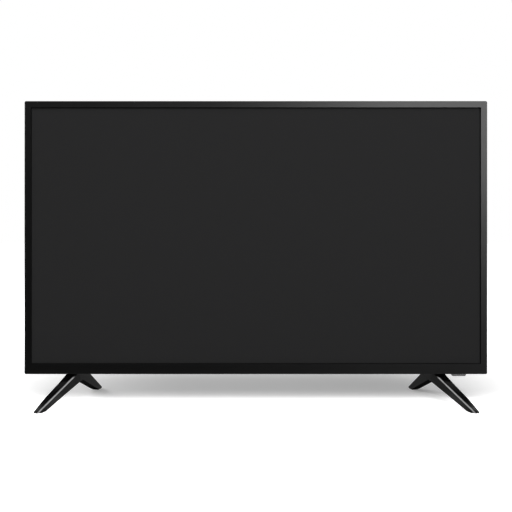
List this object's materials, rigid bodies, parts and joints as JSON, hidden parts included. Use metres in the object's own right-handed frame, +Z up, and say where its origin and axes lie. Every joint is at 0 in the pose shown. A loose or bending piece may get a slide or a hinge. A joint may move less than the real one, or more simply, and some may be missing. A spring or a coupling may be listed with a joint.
{
  "type": "flat-panel monitor",
  "caption": "Flat-panel monitor: thin glossy frame round a wide screen, ventilated rear housing with side sockets and wall mount, standing on two splayed V feet.",
  "frame": {"origin": "centre of the object's box on the floor that its feet stand on", "axes": "+X to the viewer's right along the screen, -Y towards the viewer, +Z up; +Y is the way the wall mount faces"},
  "size_m": [0.732, 0.1848, 0.475],
  "materials": {
    "aluminium": "bare aluminium",
    "black_plastic": "black moulded plastic",
    "brass": "plated brass",
    "capacitor": "sleeved aluminium can",
    "chip": "black moulded chip",
    "circuit_board": "green solder mask",
    "clear_plastic": "clear plastic lens",
    "ferrite": "ferrite core with bobbin",
    "film": "amber flexible film",
    "foam": "black foam strip",
    "gloss_black": "glossy black moulded plastic",
    "magnet": "plated magnet",
    "matte_black": "fine-grained black moulded plastic",
    "paper": "black paper cone",
    "rubber": "black rubber",
    "screen": "anti-glare screen, switched off",
    "screw_steel": "blackened steel screw",
    "smoked": "smoked infrared window",
    "socket_steel": "plated socket shell",
    "steel": "zinc-plated sheet steel",
    "white_plastic": "white plastic sheet"
  },
  "bodies": {
    "set": {"backlight_pan": "steel", "board_connectors": "white_plastic", "board_screws": "steel", "capacitors": "capacitor", "chip_heatsink": "aluminium", "cof_films": "film", "diffuser_plate": "white_plastic", "diffuser_posts": "white_plastic", "foot_brackets": "steel", "foot_left": "gloss_black", "foot_pads_left": "rubber", "foot_pads_right": "rubber", "foot_right": "gloss_black", "foot_screws": "screw_steel", "front_bezel": "gloss_black", "hdmi_sockets": "socket_steel", "insulation_sheet": "black_plastic", "ir_receiver": "chip", "ir_window": "smoked", "jack_panel": "steel", "key_switch": "black_plastic", "lcd_cell": "screen", "led_bars": "white_plastic", "led_lenses": "clear_plastic", "line_filter": "ferrite", "main_board": "circuit_board", "main_chip": "chip", "mains_inlet": "black_plastic", "mains_pins": "brass", "mid_frame": "black_plastic", "network_socket": "socket_steel", "optical_films": "white_plastic", "panel_gasket": "foam", "power_board": "circuit_board", "power_heatsink": "aluminium", "rear_cover": "matte_black", "rear_cover_screws": "screw_steel", "reflector_tray": "white_plastic", "sensor_board": "circuit_board", "source_boards": "circuit_board", "speaker_basket_left": "steel", "speaker_basket_right": "steel", "speaker_box_left": "black_plastic", "speaker_box_right": "black_plastic", "speaker_grommets": "rubber", "speaker_magnet_left": "magnet", "speaker_magnet_right": "magnet", "speaker_surround_left": "rubber", "speaker_surround_right": "rubber", "standby_led": "clear_plastic", "timing_board": "circuit_board", "transformer": "ferrite", "usb_socket": "socket_steel", "wall_mount_posts": "steel"},
    "power_key": {"power_key": "matte_black", "switch_plunger": "white_plastic"},
    "cone_left": {"speaker_cone_left": "paper"},
    "cone_right": {"speaker_cone_right": "paper"}
  },
  "joints": [
    {"name": "power_key_press", "type": "slide", "parent": "set", "child": "power_key", "axis": [0, 0, 1], "range_m": [0, 0.0006], "stiffness_N_per_m": 900, "springref_m": -0.0008},
    {"name": "cone_left_travel", "type": "slide", "parent": "set", "child": "cone_left", "axis": [0, 0, 1], "range_m": [-0.001, 0.001], "stiffness_N_per_m": 1200, "deforming": ["speaker_surround_left"]},
    {"name": "cone_right_travel", "type": "slide", "parent": "set", "child": "cone_right", "axis": [0, 0, 1], "range_m": [-0.001, 0.001], "stiffness_N_per_m": 1200, "deforming": ["speaker_surround_right"]}
  ]
}
